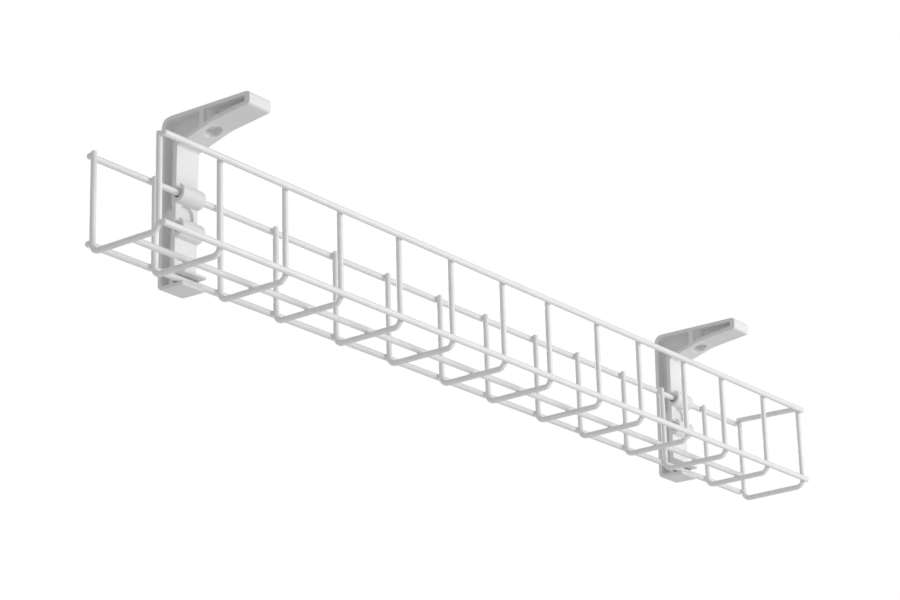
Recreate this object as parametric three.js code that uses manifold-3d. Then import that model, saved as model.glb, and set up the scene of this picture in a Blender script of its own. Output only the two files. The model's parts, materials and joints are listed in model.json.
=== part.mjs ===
// Cable tray for the underside of a desk: a welded wire basket that hangs in two moulded L brackets.
//
// Millimetres, +Z up. X runs along the tray, +Y goes to the back (the pivot side), and the origin lies
// on the underside of the desk, midway between the two screw holes of the brackets.

import * as THREE from "three";
import { mergeVertices } from "three/addons/utils/BufferGeometryUtils.js";
import Module from "manifold-3d";

const wasm = await Module();
wasm.setup();

// ---------------------------------------------------------------- driving dimensions

// wire
const FRAME_WIRE = 3.6; // diameter of the U-shaped cross frames
const RAIL_WIRE = 3.8; // diameter of the wires that run the length of the basket
const WELD_GAP = 0.1; // clearance kept at every welded contact
const WIRE_SIDES = 12;

// basket, drawn about the axis of its back top rail, which is the one it hangs and swings on
const FRAME_COUNT = 14;
const NARROW_PITCH = 50.0; // the frames are spaced narrow, wide, narrow, ...
const WIDE_PITCH = 56.5;
const SIXTH_FRAME_DRIFT = 2.3; // the sixth frame is welded this far off its pitch
const BASKET_SHIFT = -2.5; // where the basket sits along its sideways play between the brackets
const BASKET_DEPTH = 50.6; // between the leg centres of a frame
const BASKET_FLOOR_Z = -59.5; // centre of the cross wires under the cables
const BEND_RADIUS = 5.0; // centreline radius of the two bends of a frame
const BEND_STEPS = 6;
const FRONT_TOP_Z = -2.0;
const FRONT_LOW_Z = -55.3;
const BACK_LOW_Z = -53.5;
const FLOOR_RAIL_Y = -28.1; // the one wire that lies inside, on the cross wires
const FLOOR_RAIL_START = 6.5; // it starts this far past the first frame ...
const FLOOR_RAIL_STOP = 8.0; // ... and stops this far past the last but one
const RAIL_END = 0.8; // how far a rail runs past the centre of the last frame
const FRONT_LEG_PAST_RAIL = 1.8; // leg ends above the centre of the top rail
const BACK_LEG_PAST_RAIL = 2.0;
const CROSSBAR_RISE = 2.0; // end crossbar above the centres of the two top rails
const BASKET_TILT = 1.3; // degrees, front raised, as the basket hangs at rest

// where the basket hangs on the brackets
const PIVOT_Y = 19.3;
const PIVOT_Z = -50.4;

// brackets
const BRACKET_SPACING = 529.5; // between the two screw axes
const BRACKET_WIDTH = 19.0;
const WEB = 5.6; // solid middle of the I section, between the side pockets
const BACK_Y = 33.2; // flat back of the leg
const TIP_Y = -36.6; // front end of the arm
const BRACKET_DROP = 109.0; // from the desk down to the underside of the foot
const BACK_WALL = 2.8;
const FRONT_WALL = 3.2;
const TOP_WALL = 2.4;
const UNDER_WALL = 3.0;
const FLOOR_WALL = 2.6;
const TIP_WALL = 4.0;
const LEG_FRONT_Y = 20.0;
const SHOULDER_Z = -20.2; // where the underside of the arm meets the leg
const TIP_DEPTH = 8.4; // height of the arm at its tip
const ARM_BEND_Y = -6.5; // the underside runs down more steeply from here to the leg
const ARM_BEND_Z = -12.2;

// hooks, catch, bosses and recesses of a bracket
const HOOK_RADIUS = 6.0;
const HOOK_BORE = 5.0;
const HOOK_SLOT = 4.6;
const HOOK_MOUTH = 6.4; // wider mouth at both ends of a hook
const HOOK_MOUTH_DEPTH = 3.0;
const SPARE_HOOK_DROP = 21.6; // the second, empty hook below the one in use
const CATCH_BACK_Y = 21.0; // back of the gap that takes the back low rail
const CATCH_RISE = 2.1; // roof of that gap, above the centre of the rail in it
const CATCH_SLOPE = 0.55; // the roof rises to the nose, to let the rail swing out
const NOSE_TIP_Y = 11.6;
const NOSE_TIP_HEIGHT = 1.3;
const NOSE_ROOT_HEIGHT = 5.6;
const FOOT_LIP_Y = 12.9;
const SCREW_HOLE = 4.6;
const BOSS = 14.4;
const SCREW_RECESS = 10.6;
const RECESS_DEPTH = 5.0;
const RIB_FRONT_Y = -0.6; // upright rib across the pockets of the arm
const RIB_BACK_Y = 3.2;
const WALL_MARK = 12.2;
const WALL_MARK_Z = -62.2;
const MARK_DEPTH = 2.0;

// materials
const WIRE_COLOUR = 0xeff0f0;
const PLASTIC_COLOUR = 0xf0f0ee;

// ---------------------------------------------------------------- worked out from those

const BASKET_LENGTH = (FRAME_COUNT / 2) * NARROW_PITCH + (FRAME_COUNT / 2 - 1) * WIDE_PITCH;
const FIRST_FRAME_X = BASKET_SHIFT - BASKET_LENGTH / 2;
const RAIL_OFFSET = (FRAME_WIRE + RAIL_WIRE) / 2 + WELD_GAP;
const BACK_LEG_Y = -RAIL_OFFSET;
const FRONT_LEG_Y = BACK_LEG_Y - BASKET_DEPTH;
const SPARE_HOOK_Z = PIVOT_Z - SPARE_HOOK_DROP;
const FOOT_Z = -BRACKET_DROP;
const CATCH_Z = PIVOT_Z + BACK_LOW_Z + CATCH_RISE;
const NOSE_Z = CATCH_Z + CATCH_SLOPE;
const ARM_SLOPE = (SHOULDER_Z - ARM_BEND_Z) / (LEG_FRONT_Y - ARM_BEND_Y);

// ---------------------------------------------------------------- helpers

// A path through stations in the YZ plane, each with its own direction, so that an extrusion
// puts a section exactly at every station.
class StationPath extends THREE.Curve {
  constructor(points, tangents) {
    super();
    this.points = points;
    this.tangents = tangents;
  }
  getPoint(t) {
    const last = this.points.length - 1;
    const i = Math.min(Math.floor(t * last + 1e-6), last - 1);
    return this.points[i].clone().lerp(this.points[i + 1], t * last - i);
  }
  getPointAt(u) {
    return this.getPoint(u);
  }
  getTangent(t) {
    return this.tangents[Math.round(t * (this.points.length - 1))].clone();
  }
  getTangentAt(u) {
    return this.getTangent(u);
  }
}

// A regular polygon whose corners lie on a circle, as the section of a round wire.
function wireSection(diameter) {
  const shape = new THREE.Shape();
  for (let i = 0; i < WIRE_SIDES; i++) {
    const angle = (2 * Math.PI * (i + 0.5)) / WIRE_SIDES;
    const x = (diameter / 2) * Math.cos(angle);
    const y = (diameter / 2) * Math.sin(angle);
    if (i === 0) shape.moveTo(x, y);
    else shape.lineTo(x, y);
  }
  shape.closePath();
  return shape;
}

function wireAlong(points, tangents, diameter) {
  return new THREE.ExtrudeGeometry(wireSection(diameter), {
    steps: points.length - 1,
    extrudePath: new StationPath(points, tangents),
    bevelEnabled: false,
  });
}

function straightWire(from, to, diameter) {
  const direction = to.clone().sub(from).normalize();
  return wireAlong([from, to], [direction, direction], diameter);
}

// A closed body standing on an outline in the YZ plane, from x0 to x1.
function slab(shape, x0, x1, curveSegments = 8) {
  const geometry = new THREE.ExtrudeGeometry(shape, {
    depth: x1 - x0,
    bevelEnabled: false,
    curveSegments,
  });
  // the shape is drawn with its x along +Y and its y along +Z
  const toYZ = new THREE.Matrix4().makeBasis(
    new THREE.Vector3(0, 1, 0),
    new THREE.Vector3(0, 0, 1),
    new THREE.Vector3(1, 0, 0),
  );
  return geometry.applyMatrix4(toYZ).translate(x0, 0, 0);
}

// An outline through corner points [y, z, radius], each corner rounded to its radius.
function roundedOutline(corners) {
  const shape = new THREE.Shape();
  corners.forEach(([y, z, radius = 0], i) => {
    const corner = new THREE.Vector2(y, z);
    const before = new THREE.Vector2(...corners.at(i - 1).slice(0, 2)).sub(corner).normalize();
    const after = new THREE.Vector2(...corners[(i + 1) % corners.length].slice(0, 2));
    after.sub(corner).normalize();
    const half = Math.acos(THREE.MathUtils.clamp(before.dot(after), -1, 1)) / 2;
    const reach = radius / Math.tan(half);
    const start = corner.clone().addScaledVector(before, reach);
    if (i === 0) shape.moveTo(start.x, start.y);
    else shape.lineTo(start.x, start.y);
    if (radius > 0) {
      const end = corner.clone().addScaledVector(after, reach);
      shape.quadraticCurveTo(corner.x, corner.y, end.x, end.y);
    }
  });
  shape.closePath();
  return shape;
}

function circleOutline(y, z, radius) {
  const shape = new THREE.Shape();
  shape.absarc(y, z, radius, 0, 2 * Math.PI, false);
  return shape;
}

function cylinder(axis, diameter, from, to, sides = 28) {
  const geometry = new THREE.CylinderGeometry(diameter / 2, diameter / 2, to - from, sides);
  geometry.translate(0, (from + to) / 2, 0);
  if (axis === "z") geometry.rotateX(Math.PI / 2);
  return geometry;
}

function solid(geometry) {
  const bare = geometry.clone();
  bare.deleteAttribute("normal");
  bare.deleteAttribute("uv");
  const merged = mergeVertices(bare, 1e-4);
  return new wasm.Manifold(
    new wasm.Mesh({
      numProp: 3,
      vertProperties: merged.attributes.position.array,
      triVerts: new Uint32Array(merged.index.array),
    }),
  );
}

function geometryOf(manifold) {
  const mesh = manifold.getMesh();
  const geometry = new THREE.BufferGeometry();
  geometry.setAttribute("position", new THREE.BufferAttribute(mesh.vertProperties, 3));
  geometry.setIndex(new THREE.BufferAttribute(mesh.triVerts, 1));
  const faceted = geometry.toNonIndexed();
  faceted.computeVertexNormals();
  return faceted;
}

// ---------------------------------------------------------------- basket

const wireMaterial = () =>
  new THREE.MeshStandardMaterial({ color: WIRE_COLOUR, roughness: 0.45, metalness: 0.1 });

// Centres of the frames, spaced narrow and wide in turn.
function frameStations() {
  const stations = [FIRST_FRAME_X];
  for (let i = 1; i < FRAME_COUNT; i++) {
    stations.push(stations[i - 1] + (i % 2 === 1 ? NARROW_PITCH : WIDE_PITCH));
  }
  stations[5] += SIXTH_FRAME_DRIFT;
  return stations;
}

// One bend of a frame: stations from fromAngle, a quarter turn on, about (y, z).
function bend(y, z, fromAngle, points, tangents) {
  for (let i = 0; i <= BEND_STEPS; i++) {
    const angle = fromAngle + (i / BEND_STEPS) * (Math.PI / 2);
    points.push(
      new THREE.Vector3(0, y + BEND_RADIUS * Math.cos(angle), z + BEND_RADIUS * Math.sin(angle)),
    );
    tangents.push(new THREE.Vector3(0, -Math.sin(angle), Math.cos(angle)));
  }
}

// A U-shaped frame: front leg, cross wire and back leg in one bent wire.
function frameGeometry(frontTopZ, backTopZ) {
  const points = [new THREE.Vector3(0, FRONT_LEG_Y, frontTopZ)];
  const tangents = [new THREE.Vector3(0, 0, -1)];
  const bendZ = BASKET_FLOOR_Z + BEND_RADIUS;
  bend(FRONT_LEG_Y + BEND_RADIUS, bendZ, Math.PI, points, tangents);
  bend(BACK_LEG_Y - BEND_RADIUS, bendZ, 1.5 * Math.PI, points, tangents);
  points.push(new THREE.Vector3(0, BACK_LEG_Y, backTopZ));
  tangents.push(new THREE.Vector3(0, 0, 1));
  return wireAlong(points, tangents, FRAME_WIRE);
}

// Where a rail lies against the outside of a frame bend, at height z.
function railYOnBend(z, side) {
  const legY = side < 0 ? FRONT_LEG_Y : BACK_LEG_Y;
  const fromBendCentre = Math.min(z - (BASKET_FLOOR_Z + BEND_RADIUS), 0);
  const reach = Math.sqrt((BEND_RADIUS + RAIL_OFFSET) ** 2 - fromBendCentre ** 2);
  return legY + side * (reach - BEND_RADIUS);
}

function buildBasket() {
  const basket = new THREE.Group();
  const add = (name, geometry, x = 0) => {
    const mesh = new THREE.Mesh(geometry, wireMaterial());
    mesh.name = name;
    mesh.position.x = x;
    basket.add(mesh);
  };

  const stations = frameStations();
  const underCrossbar = CROSSBAR_RISE - FRAME_WIRE / 2 - WELD_GAP;
  stations.forEach((x, i) => {
    const isLast = i === FRAME_COUNT - 1;
    const frontTop = FRONT_TOP_Z + (isLast ? underCrossbar : FRONT_LEG_PAST_RAIL);
    const backTop = isLast ? underCrossbar : BACK_LEG_PAST_RAIL;
    const number = String(i + 1).padStart(2, "0");
    add("frame_wire_" + number, frameGeometry(frontTop, backTop), x);
  });

  const rail = (name, y, z, start = stations[0] - RAIL_END, stop = stations.at(-1) + RAIL_END) => {
    const from = new THREE.Vector3(start, y, z);
    const to = new THREE.Vector3(stop, y, z);
    add(name, straightWire(from, to, RAIL_WIRE));
  };
  rail("front_top_rail", FRONT_LEG_Y - RAIL_OFFSET, FRONT_TOP_Z);
  rail("front_low_rail", railYOnBend(FRONT_LOW_Z, -1), FRONT_LOW_Z);
  rail("back_top_rail", 0, 0);
  rail("back_low_rail", railYOnBend(BACK_LOW_Z, 1), BACK_LOW_Z);
  rail(
    "floor_rail",
    FLOOR_RAIL_Y,
    BASKET_FLOOR_Z + RAIL_OFFSET,
    stations[0] + FLOOR_RAIL_START,
    stations.at(-2) + FLOOR_RAIL_STOP,
  );

  // the crossbar that closes the top of the last frame, butted between the two top rails
  const x = stations[FRAME_COUNT - 1];
  const inset = FRAME_WIRE / 2 - WELD_GAP;
  const crossbar = straightWire(
    new THREE.Vector3(x, FRONT_LEG_Y - inset, FRONT_TOP_Z + CROSSBAR_RISE),
    new THREE.Vector3(x, BACK_LEG_Y + inset, CROSSBAR_RISE),
    FRAME_WIRE,
  );
  add("end_crossbar", crossbar);

  basket.position.set(0, PIVOT_Y, PIVOT_Z);
  basket.rotation.x = -THREE.MathUtils.degToRad(BASKET_TILT);
  return basket;
}

// ---------------------------------------------------------------- bracket

// The side view of a bracket without its hooks: leg, arm, foot and catch nose in one outline.
function bracketOutline() {
  return roundedOutline([
    [BACK_Y, 0, 7],
    [TIP_Y, 0, 3],
    [TIP_Y, -TIP_DEPTH, 2.4],
    [ARM_BEND_Y, ARM_BEND_Z, 30],
    [LEG_FRONT_Y, SHOULDER_Z, 1.6],
    [LEG_FRONT_Y, NOSE_Z + NOSE_ROOT_HEIGHT, 1],
    [NOSE_TIP_Y, NOSE_Z + NOSE_TIP_HEIGHT, 0.5],
    [NOSE_TIP_Y, NOSE_Z, 0.4],
    [CATCH_BACK_Y, CATCH_Z, 0.6],
    [CATCH_BACK_Y, FOOT_Z + FLOOR_WALL, 0.8],
    [FOOT_LIP_Y, FOOT_Z + FLOOR_WALL, 0.8],
    [FOOT_LIP_Y, FOOT_Z, 1],
    [BACK_Y, FOOT_Z, 4.4],
  ]);
}

// Height of the underside of the arm between its bend and the leg.
function undersideZ(y) {
  return ARM_BEND_Z + ARM_SLOPE * (y - ARM_BEND_Y);
}

// The pocket of the leg, up round the corner as far as the rib.
function legPocket() {
  const inner = LEG_FRONT_Y + FRONT_WALL;
  return roundedOutline([
    [BACK_Y - BACK_WALL, -TOP_WALL, 4.5],
    [RIB_BACK_Y, -TOP_WALL, 0.8],
    [RIB_BACK_Y, undersideZ(RIB_BACK_Y) + UNDER_WALL, 0.8],
    [inner, undersideZ(inner) + UNDER_WALL + 0.4, 3],
    [inner, FOOT_Z + FLOOR_WALL, 1],
    [BACK_Y - BACK_WALL, FOOT_Z + FLOOR_WALL, 2.4],
  ]);
}

// The pocket of the arm, from the rib to the tip.
function armPocket() {
  const innerTip = TIP_Y + TIP_WALL;
  const tipSlope = (ARM_BEND_Z + TIP_DEPTH) / (ARM_BEND_Y - TIP_Y);
  return roundedOutline([
    [RIB_FRONT_Y, -TOP_WALL, 0.8],
    [innerTip, -TOP_WALL, 0.8],
    [innerTip, -TIP_DEPTH + tipSlope * TIP_WALL + UNDER_WALL, 0.8],
    [ARM_BEND_Y, ARM_BEND_Z + UNDER_WALL, 8],
    [RIB_FRONT_Y, undersideZ(RIB_FRONT_Y) + UNDER_WALL, 0.8],
  ]);
}

// A half-round hook on the front of the leg, open upwards, for a rail at height z.
function hookBody(z) {
  const half = BRACKET_WIDTH / 2;
  return solid(slab(circleOutline(PIVOT_Y, z, HOOK_RADIUS), -half, half, 12));
}

// What is cut out of a hook: the bore, the way in from above, and a wider mouth at each end.
function hookCut(z) {
  const past = BRACKET_WIDTH / 2 + 1;
  const mouth = BRACKET_WIDTH / 2 - HOOK_MOUTH_DEPTH;
  const mouthY = PIVOT_Y - (HOOK_MOUTH - HOOK_BORE) / 2;
  const wayIn = roundedOutline([
    [PIVOT_Y - HOOK_SLOT / 2, z],
    [PIVOT_Y + HOOK_SLOT / 2, z],
    [LEG_FRONT_Y - 0.5, z + 9],
    [PIVOT_Y - HOOK_SLOT / 2, z + 9],
  ]);
  const ring = circleOutline(mouthY, z, HOOK_MOUTH / 2);
  return solid(slab(circleOutline(PIVOT_Y, z, HOOK_BORE / 2), -past, past, 8))
    .add(solid(slab(wayIn, -past, past)))
    .add(solid(slab(ring, -past, -mouth, 8)))
    .add(solid(slab(ring, mouth, past, 8)));
}

function bracketGeometry() {
  const half = BRACKET_WIDTH / 2;
  const web = WEB / 2;
  const outline = solid(slab(bracketOutline(), -half, half, 6));
  let body = outline.add(hookBody(PIVOT_Z)).add(hookBody(SPARE_HOOK_Z));
  for (const pocket of [legPocket(), armPocket()]) {
    body = body.subtract(solid(slab(pocket, -half - 1, -web, 6)));
    body = body.subtract(solid(slab(pocket, web, half + 1, 6)));
  }

  // bosses for the screw up into the desk and for one back into a wall
  const up = solid(cylinder("z", BOSS, SHOULDER_Z, -TOP_WALL / 2));
  const back = solid(cylinder("y", BOSS, LEG_FRONT_Y + 1, BACK_Y - 1));
  body = body.add(up.intersect(outline)).add(back.translate([0, 0, WALL_MARK_Z]));

  for (const z of [PIVOT_Z, SPARE_HOOK_Z]) {
    body = body.subtract(hookCut(z));
  }

  // the recess in the underside of the arm keeps the same depth all over
  const roof = roundedOutline([
    [-SCREW_RECESS, undersideZ(-SCREW_RECESS) + RECESS_DEPTH],
    [SCREW_RECESS, undersideZ(SCREW_RECESS) + RECESS_DEPTH],
    [SCREW_RECESS, 0],
    [-SCREW_RECESS, 0],
  ]);
  const underArm = SHOULDER_Z - 4;
  const recess = solid(cylinder("z", SCREW_RECESS, underArm, -TOP_WALL));
  body = body.subtract(recess.subtract(solid(slab(roof, -half, half))));
  body = body.subtract(solid(cylinder("z", SCREW_HOLE, underArm, 1, 20)));

  // the round mark between the hooks, over a boss that can be drilled through for a wall screw
  const mark = solid(cylinder("y", WALL_MARK, LEG_FRONT_Y - 8, LEG_FRONT_Y + MARK_DEPTH));
  const keepHooks = hookBody(PIVOT_Z).add(hookBody(SPARE_HOOK_Z));
  body = body.subtract(mark.translate([0, 0, WALL_MARK_Z]).subtract(keepHooks));
  return geometryOf(body);
}

function buildBrackets() {
  const brackets = new THREE.Group();
  const geometry = bracketGeometry();
  for (const [name, side] of [
    ["left_bracket", -1],
    ["right_bracket", 1],
  ]) {
    const material = new THREE.MeshStandardMaterial({
      color: PLASTIC_COLOUR,
      roughness: 0.55,
      metalness: 0,
    });
    const mesh = new THREE.Mesh(geometry, material);
    mesh.name = name;
    mesh.position.x = (side * BRACKET_SPACING) / 2;
    brackets.add(mesh);
  }
  return brackets;
}

const tray = new THREE.Group();
tray.add(buildBrackets(), buildBasket());

export default tray;
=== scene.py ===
"""Looks of an under-desk cable tray: a white wire basket hung in two moulded plastic brackets.

Metres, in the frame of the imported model: +X along the tray, +Y to the back, +Z up to the desk.
"""

import json
import math

import bmesh
import bpy
from mathutils import Matrix, Vector


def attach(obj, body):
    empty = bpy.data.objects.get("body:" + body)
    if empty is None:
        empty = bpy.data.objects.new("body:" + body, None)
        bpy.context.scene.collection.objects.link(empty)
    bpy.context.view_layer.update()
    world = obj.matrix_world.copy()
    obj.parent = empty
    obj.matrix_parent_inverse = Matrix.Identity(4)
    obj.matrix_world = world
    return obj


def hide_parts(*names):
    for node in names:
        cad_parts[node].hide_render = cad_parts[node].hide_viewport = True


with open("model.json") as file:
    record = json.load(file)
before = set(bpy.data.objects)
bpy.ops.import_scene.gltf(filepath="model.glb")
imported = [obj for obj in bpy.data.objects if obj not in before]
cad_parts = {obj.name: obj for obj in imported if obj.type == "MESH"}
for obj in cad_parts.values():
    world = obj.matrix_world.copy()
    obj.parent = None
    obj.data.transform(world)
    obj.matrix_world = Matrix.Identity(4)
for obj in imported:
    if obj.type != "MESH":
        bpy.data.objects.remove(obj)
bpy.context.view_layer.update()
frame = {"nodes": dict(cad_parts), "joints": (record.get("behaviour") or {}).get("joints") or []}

MM = 0.001

# ---------------------------------------------------------------- sizes

# camera, in front of the tray, below it and to its left, aimed just behind the basket
CAMERA_TARGET = Vector((5.1, 31.8, -39.3)) * MM
CAMERA_DISTANCE = 1.83
CAMERA_AZIMUTH = -52.63  # degrees, 0 looks along +Y
CAMERA_ELEVATION = -19.14  # degrees, looking up
CAMERA_ROLL = -0.59
CAMERA_LENS = 109.7
SENSOR_WIDTH = 36
NEAREST = 0.05
FARTHEST = 100

# basket, the same as in the CAD, in its own upright frame round the rail it hangs on
BASKET_TILT = math.radians(-1.3)
BASKET_DEPTH = 50.6 * MM  # between the leg centres of a frame
FRAME_WIRE = 3.6 * MM
RAIL_WIRE = 3.8 * MM
BEND_RADIUS = 5 * MM

# finish of the wires
COAT = 0.05 * MM  # the powder coat stands this proud of the CAD wire
LEG_END = 1.0 * MM  # rounding at the cut ends of a frame's legs
RAIL_EDGE = 1.3 * MM  # and of the rails
BUTT_EDGE = 0.5 * MM  # and of the crossbar, which butts on its two rails
BEAD_SIZE = (1.7 * MM, 1.7 * MM, 0.8 * MM)  # half sizes of a weld nugget
WIRE_SIDES = 20
BEND_STEPS = 10
END_STEPS = 5
BEAD_SEGMENTS = 12
BEAD_RINGS = 8

# brackets
SAME_POINT = 0.002 * MM  # vertices closer than this are one
VOXEL = 0.33 * MM
SOFTEN_ROUNDS = 4
SOFTEN_FACTOR = 0.5
BRACKET_TRIANGLES = 30000

# studio
FLOOR_Z = -2.4  # far down, so that the photographed view from below passes over it
FLOOR_HALF_SIDE = 12
FLOOR_GLOW = 0.06
BACKDROP_STRENGTH = 1.0
FILL_FROM_BELOW = 0.56
FILL_FROM_ABOVE = 0.44
SOFTBOX_SIZE = (2.0, 1.6)
SOFTBOX_AIM = Vector((0, 0, -0.05))
KEY_PLACE = Vector((0.95, -2.5, 0.2))
KEY_POWER = 46
BACK_PLACE = Vector((0.9, 2.4, 1.1))  # lights only what faces back or up
BACK_POWER = 40
WHITE = (1, 1, 1, 1)

# ---------------------------------------------------------------- what the CAD says

NODES = frame["nodes"]
FRAME_NAMES = sorted(n for n in NODES if n.startswith("frame_wire_"))
RAIL_NAMES = ["front_top_rail", "front_low_rail", "back_top_rail", "back_low_rail", "floor_rail"]
BRACKET_NAMES = ["left_bracket", "right_bracket"]
X_AXIS = Vector((1, 0, 0))
Y_AXIS = Vector((0, 1, 0))
UP = Vector((0, 0, 1))
PIVOT = Vector(frame["joints"][0]["pos_m"])
TO_WORLD = Matrix.Translation(PIVOT) @ Matrix.Rotation(BASKET_TILT, 4, "X")
FROM_WORLD = TO_WORLD.inverted()


# ---------------------------------------------------------------- node trees


class Shader:
    """A material whose Principled shader is fed by procedural nodes."""

    def __init__(self, name):
        self.material = bpy.data.materials.new(name)
        self.material.use_nodes = True
        self.nodes = self.material.node_tree.nodes
        self.links = self.material.node_tree.links
        self.principled = self.nodes["Principled BSDF"]
        self.place = self.nodes.new("ShaderNodeTexCoord").outputs["Object"]

    def set(self, **values):
        for name, value in values.items():
            self.principled.inputs[name.replace("_", " ")].default_value = value

    def noise(self, scale, detail=2.0, roughness=0.5):
        node = self.nodes.new("ShaderNodeTexNoise")
        node.inputs["Scale"].default_value = scale
        node.inputs["Detail"].default_value = detail
        node.inputs["Roughness"].default_value = roughness
        self.links.new(self.place, node.inputs["Vector"])
        return node.outputs["Fac"]

    def between(self, factor, low, high, start=0.3, end=0.7):
        node = self.nodes.new("ShaderNodeMapRange")
        node.inputs["From Min"].default_value = start
        node.inputs["From Max"].default_value = end
        node.inputs["To Min"].default_value = low
        node.inputs["To Max"].default_value = high
        self.links.new(factor, node.inputs["Value"])
        return node.outputs["Result"]

    def colours(self, factor, stops):
        node = self.nodes.new("ShaderNodeValToRGB")
        ramp = node.color_ramp
        while len(ramp.elements) < len(stops):
            ramp.elements.new(0.5)
        for element, (position, colour) in zip(ramp.elements, stops):
            element.position = position
            element.color = (*colour, 1)
        self.links.new(factor, node.inputs["Fac"])
        return node.outputs["Color"]

    def bump(self, height, strength, distance, below=None):
        node = self.nodes.new("ShaderNodeBump")
        node.inputs["Strength"].default_value = strength
        node.inputs["Distance"].default_value = distance
        self.links.new(height, node.inputs["Height"])
        if below is not None:
            self.links.new(below, node.inputs["Normal"])
        return node.outputs["Normal"]

    def connect(self, **outputs):
        for name, output in outputs.items():
            self.links.new(output, self.principled.inputs[name.replace("_", " ")])
        return self.material


def powder_coat():
    """Baked white powder coat: satin, with fine orange peel and slow changes in thickness."""
    s = Shader("white_powder_coat")
    s.set(IOR=1.5, Specular_IOR_Level=0.5)
    film = s.noise(90, 3)
    tone = s.colours(film, [(0.3, (0.80, 0.80, 0.795)), (0.7, (0.845, 0.845, 0.84))])
    rough = s.between(s.noise(700, 3), 0.30, 0.44)
    lumps = s.bump(s.noise(420, 2), 0.25, 0.12 * MM)
    peel = s.bump(s.noise(1900, 3, 0.6), 0.35, 0.05 * MM, lumps)
    return s.connect(Base_Color=tone, Roughness=rough, Normal=peel)


def moulded_plastic():
    """White injection-moulded plastic with a fine spark-eroded grain and faint flow marks."""
    s = Shader("white_moulded_plastic")
    s.set(IOR=1.49, Specular_IOR_Level=0.45, Subsurface_Weight=0.06, Subsurface_Scale=0.6 * MM)
    flow = s.noise(38, 4)
    tone = s.colours(flow, [(0.3, (0.79, 0.795, 0.795)), (0.7, (0.83, 0.83, 0.825))])
    rough = s.between(s.noise(520, 3), 0.40, 0.54)
    sink = s.bump(s.noise(70, 1), 0.10, 0.25 * MM)
    grain = s.bump(s.noise(3400, 3, 0.65), 0.30, 0.03 * MM, sink)
    return s.connect(Base_Color=tone, Roughness=rough, Normal=grain)


def plain_floor():
    """A pale matt floor that glows faintly, to light the undersides."""
    s = Shader("pale_floor")
    tone = s.colours(s.noise(3, 2), [(0.3, (0.86, 0.86, 0.86)), (0.7, (0.89, 0.89, 0.89))])
    rough = s.between(s.noise(12, 2), 0.75, 0.85)
    s.set(Emission_Color=WHITE, Emission_Strength=FLOOR_GLOW)
    return s.connect(Base_Color=tone, Roughness=rough)


# ---------------------------------------------------------------- mesh helpers


def new_object(name, bm, material, smooth=True):
    mesh = bpy.data.meshes.new(name)
    bmesh.ops.recalc_face_normals(bm, faces=bm.faces)
    for face in bm.faces:
        face.smooth = smooth
    bm.to_mesh(mesh)
    bm.free()
    mesh.materials.append(material)
    made = bpy.data.objects.new(name, mesh)
    bpy.context.scene.collection.objects.link(made)
    return made


def stand_for(piece, body, slot, *nodes):
    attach(piece, body)
    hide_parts(*nodes)
    return piece


class Path:
    """Stations of a swept wire: a point, the direction there, and the radius of the wire."""

    def __init__(self, across):
        self.across = across  # a direction square to the whole path
        self.stations = []

    def add(self, point, along, radius):
        self.stations.append((point, along, radius))

    def add_end(self, point, along, radius, edge, leaving):
        """A cut end with a rounded rim. The wire starts here if leaving, else it stops here."""
        outward = -along if leaving else along
        steps = range(END_STEPS, -1, -1) if leaving else range(END_STEPS + 1)
        for i in steps:
            angle = math.radians(90) * i / END_STEPS
            back = edge * (1 - math.sin(angle))
            narrower = edge * (1 - math.cos(angle))
            self.add(point - outward * back, along, radius - narrower)

    def sweep(self, bm):
        rings = []
        for point, along, radius in self.stations:
            side = along.cross(self.across).normalized()
            across = side.cross(along)
            ring = []
            for k in range(WIRE_SIDES):
                angle = 2 * math.pi * k / WIRE_SIDES
                offset = across * math.cos(angle) + side * math.sin(angle)
                ring.append(bm.verts.new(point + offset * radius))
            rings.append(ring)
        for a, b in zip(rings, rings[1:]):
            for k in range(WIRE_SIDES):
                bm.faces.new((a[k], a[k - 1], b[k - 1], b[k]))
        bm.faces.new(rings[0])
        bm.faces.new(reversed(rings[-1]))


# ---------------------------------------------------------------- basket


def in_basket(name):
    """The vertices of a CAD wire in the basket's own upright frame."""
    return [FROM_WORLD @ v.co for v in NODES[name].data.vertices]


def extent(name):
    """Lowest and highest corner of a CAD wire in the basket's own upright frame."""
    points = in_basket(name)
    low = Vector([min(p[i] for p in points) for i in range(3)])
    high = Vector([max(p[i] for p in points) for i in range(3)])
    return low, high


def middle(name):
    low, high = extent(name)
    return (low + high) / 2


def finish_wire(path, name, material):
    bm = bmesh.new()
    path.sweep(bm)
    bmesh.ops.transform(bm, matrix=TO_WORLD, verts=bm.verts)
    piece = new_object("coated_" + name, bm, material)
    stand_for(piece, "basket", "wire", name)


def leg_ys(name):
    """Centres of the front and the back leg of a frame."""
    centre = middle(name).y
    return centre - BASKET_DEPTH / 2, centre + BASKET_DEPTH / 2


def bend_height(name):
    """Height of the centres of a frame's two bends."""
    return extent(name)[0].z + FRAME_WIRE / 2 + BEND_RADIUS


def build_frame(name, material):
    """A U-shaped frame: front leg, cross wire and back leg in one bent wire."""
    x = middle(name).x
    front, back = leg_ys(name)
    tops = [max(p.z for p in in_basket(name) if abs(p.y - y) < FRAME_WIRE) for y in (front, back)]
    radius = FRAME_WIRE / 2 + COAT
    path = Path(X_AXIS)
    path.add_end(Vector((x, front, tops[0])), -UP, radius, LEG_END, leaving=True)
    for centre_y, start in ((front + BEND_RADIUS, 180), (back - BEND_RADIUS, 270)):
        centre = Vector((x, centre_y, bend_height(name)))
        for i in range(BEND_STEPS + 1):
            angle = math.radians(start + 90 * i / BEND_STEPS)
            outward = Vector((0, math.cos(angle), math.sin(angle)))
            path.add(centre + outward * BEND_RADIUS, X_AXIS.cross(outward), radius)
    path.add_end(Vector((x, back, tops[1])), UP, radius, LEG_END, leaving=False)
    finish_wire(path, name, material)


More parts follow.
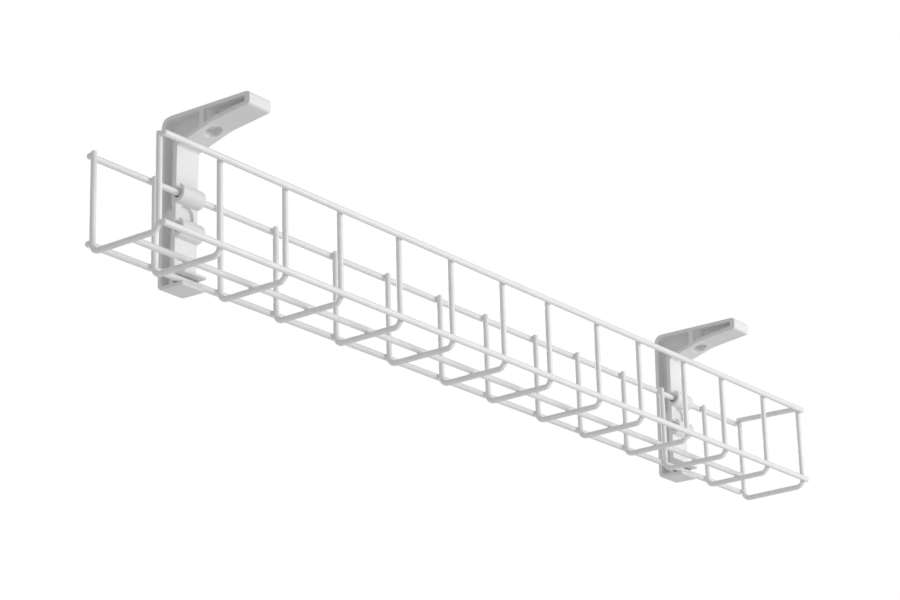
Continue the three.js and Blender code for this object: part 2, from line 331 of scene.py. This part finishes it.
def build_straight(name, material, direction, diameter, edge):
    """A straight wire from one end of its node to the other."""
    points = sorted(in_basket(name), key=lambda p: p.dot(direction))
    half = len(points) // 2
    start = sum(points[:half], Vector()) / half
    end = sum(points[half:], Vector()) / half
    along = (end - start).normalized()
    path = Path(direction.yzx)
    path.add_end(start, along, diameter / 2 + COAT, edge, leaving=True)
    path.add_end(end, along, diameter / 2 + COAT, edge, leaving=False)
    finish_wire(path, name, material)


def add_bead(bm, at, normal):
    """A weld nugget between two crossing wires: an ellipsoid squashed along the contact normal."""
    normal = normal.normalized()
    turn = Matrix((X_AXIS, normal.cross(X_AXIS), normal)).transposed().to_4x4()
    place = Matrix.Translation(at) @ turn @ Matrix.Diagonal((*BEAD_SIZE, 1))
    first = bm.verts.new(place @ UP)
    rings = []
    for i in range(1, BEAD_RINGS):
        polar = math.pi * i / BEAD_RINGS
        ring = []
        for k in range(BEAD_SEGMENTS):
            angle = 2 * math.pi * k / BEAD_SEGMENTS
            outward = X_AXIS * math.cos(angle) + Y_AXIS * math.sin(angle)
            ring.append(bm.verts.new(place @ (outward * math.sin(polar) + UP * math.cos(polar))))
        rings.append(ring)
    last = bm.verts.new(place @ -UP)
    for k in range(BEAD_SEGMENTS):
        bm.faces.new((first, rings[0][k - 1], rings[0][k]))
        for a, b in zip(rings, rings[1:]):
            bm.faces.new((a[k], a[k - 1], b[k - 1], b[k]))
        bm.faces.new((last, rings[-1][k], rings[-1][k - 1]))


def build_welds(name, material):
    """The welds of one frame to the rails that cross it."""
    x = middle(name).x
    front, back = leg_ys(name)
    bend_z = bend_height(name)
    bm = bmesh.new()
    for rail in RAIL_NAMES:
        start, stop = extent(rail)
        if not start.x < x < stop.x:
            continue
        centre = middle(rail)
        rail_at = Vector((x, centre.y, centre.z))
        if rail == "floor_rail":
            wire_at = Vector((x, centre.y, bend_z - BEND_RADIUS))
        elif centre.z > bend_z:
            wire_at = Vector((x, front if centre.y < front else back, centre.z))
        else:
            bend_y = front + BEND_RADIUS if centre.y < front else back - BEND_RADIUS
            bend_at = Vector((x, bend_y, bend_z))
            wire_at = bend_at + (rail_at - bend_at).normalized() * BEND_RADIUS
        toward = (rail_at - wire_at).normalized()
        add_bead(bm, wire_at + toward * (FRAME_WIRE / 2), toward)
    bmesh.ops.transform(bm, matrix=TO_WORLD, verts=bm.verts)
    piece = new_object(name.replace("frame_wire", "frame_welds"), bm, material)
    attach(piece, "basket")


def build_basket(material):
    for name in FRAME_NAMES:
        build_frame(name, material)
        build_welds(name, material)
    for name in RAIL_NAMES:
        build_straight(name, material, X_AXIS, RAIL_WIRE, RAIL_EDGE)
    build_straight("end_crossbar", material, Y_AXIS, FRAME_WIRE, BUTT_EDGE)


# ---------------------------------------------------------------- brackets


def build_brackets(material):
    """Each bracket's CAD solid with every edge and corner rounded as in a mould."""
    for name in BRACKET_NAMES:
        bm = bmesh.new()
        bm.from_mesh(NODES[name].data)
        bmesh.ops.remove_doubles(bm, verts=bm.verts, dist=SAME_POINT)
        piece = new_object("moulded_" + name, bm, material)
        remesh = piece.modifiers.new("remesh", "REMESH")
        remesh.mode = "VOXEL"
        remesh.voxel_size = VOXEL
        remesh.use_smooth_shade = True
        soften = piece.modifiers.new("soften", "SMOOTH")
        soften.factor = SOFTEN_FACTOR
        soften.iterations = SOFTEN_ROUNDS
        apply_modifiers(piece)
        triangles = 2 * len(piece.data.polygons)  # the voxel mesh is all quads
        thin = piece.modifiers.new("thin", "DECIMATE")
        thin.ratio = min(1.0, BRACKET_TRIANGLES / triangles)
        apply_modifiers(piece)
        for polygon in piece.data.polygons:
            polygon.use_smooth = True
        stand_for(piece, "brackets", "bracket", name)


def apply_modifiers(piece):
    """Replace a piece's mesh by what its modifiers make of it."""
    graph = bpy.context.evaluated_depsgraph_get()
    mesh = bpy.data.meshes.new_from_object(piece.evaluated_get(graph))
    old = piece.data
    piece.modifiers.clear()
    piece.data = mesh
    mesh.name = piece.name
    bpy.data.meshes.remove(old)


# ---------------------------------------------------------------- stage


def build_camera():
    data = bpy.data.cameras.new("camera")
    data.lens = CAMERA_LENS
    data.sensor_width = SENSOR_WIDTH
    data.clip_start = NEAREST
    data.clip_end = FARTHEST
    camera = bpy.data.objects.new("camera", data)
    bpy.context.scene.collection.objects.link(camera)
    azimuth = math.radians(CAMERA_AZIMUTH)
    elevation = math.radians(CAMERA_ELEVATION)
    level = Vector((math.sin(azimuth), -math.cos(azimuth), 0))
    back = level * math.cos(elevation) + UP * math.sin(elevation)
    turn = (-back).to_track_quat("-Z", "Y").to_matrix().to_4x4()
    roll = Matrix.Rotation(math.radians(CAMERA_ROLL), 4, "Z")
    place = Matrix.Translation(CAMERA_TARGET + back * CAMERA_DISTANCE)
    camera.matrix_world = place @ turn @ roll
    bpy.context.scene.camera = camera


def add_softbox(name, place, power):
    data = bpy.data.lights.new(name, "AREA")
    data.shape = "RECTANGLE"
    data.size, data.size_y = SOFTBOX_SIZE
    data.energy = power
    light = bpy.data.objects.new(name, data)
    bpy.context.scene.collection.objects.link(light)
    turn = (SOFTBOX_AIM - place).to_track_quat("-Z", "Y").to_matrix().to_4x4()
    light.matrix_world = Matrix.Translation(place) @ turn


def build_world():
    """A white backdrop for the camera, and a softer fill that is graded from below to above."""
    world = bpy.data.worlds.new("studio")
    bpy.context.scene.world = world
    world.use_nodes = True
    nodes = world.node_tree.nodes
    links = world.node_tree.links
    nodes.clear()
    backdrop = nodes.new("ShaderNodeBackground")
    backdrop.inputs["Color"].default_value = WHITE
    backdrop.inputs["Strength"].default_value = BACKDROP_STRENGTH
    fill = nodes.new("ShaderNodeBackground")
    fill.inputs["Color"].default_value = WHITE
    place = nodes.new("ShaderNodeTexCoord")
    split = nodes.new("ShaderNodeSeparateXYZ")
    strength = nodes.new("ShaderNodeMapRange")
    strength.inputs["From Min"].default_value = -1
    strength.inputs["From Max"].default_value = 1
    strength.inputs["To Min"].default_value = FILL_FROM_BELOW
    strength.inputs["To Max"].default_value = FILL_FROM_ABOVE
    links.new(place.outputs["Generated"], split.inputs[0])
    links.new(split.outputs["Z"], strength.inputs["Value"])
    links.new(strength.outputs["Result"], fill.inputs["Strength"])
    path = nodes.new("ShaderNodeLightPath")
    mix = nodes.new("ShaderNodeMixShader")
    out = nodes.new("ShaderNodeOutputWorld")
    links.new(path.outputs["Is Camera Ray"], mix.inputs["Fac"])
    links.new(fill.outputs[0], mix.inputs[1])
    links.new(backdrop.outputs[0], mix.inputs[2])
    links.new(mix.outputs[0], out.inputs["Surface"])


def build_studio():
    bpy.context.scene.view_settings.view_transform = "Standard"
    build_world()
    add_softbox("key", KEY_PLACE, KEY_POWER)
    add_softbox("back", BACK_PLACE, BACK_POWER)
    bm = bmesh.new()
    bmesh.ops.create_grid(bm, x_segments=2, y_segments=2, size=FLOOR_HALF_SIDE)
    floor = new_object("studio_floor", bm, plain_floor(), smooth=False)
    floor.location.z = FLOOR_Z


build_camera()
build_studio()
build_basket(powder_coat())
build_brackets(moulded_plastic())
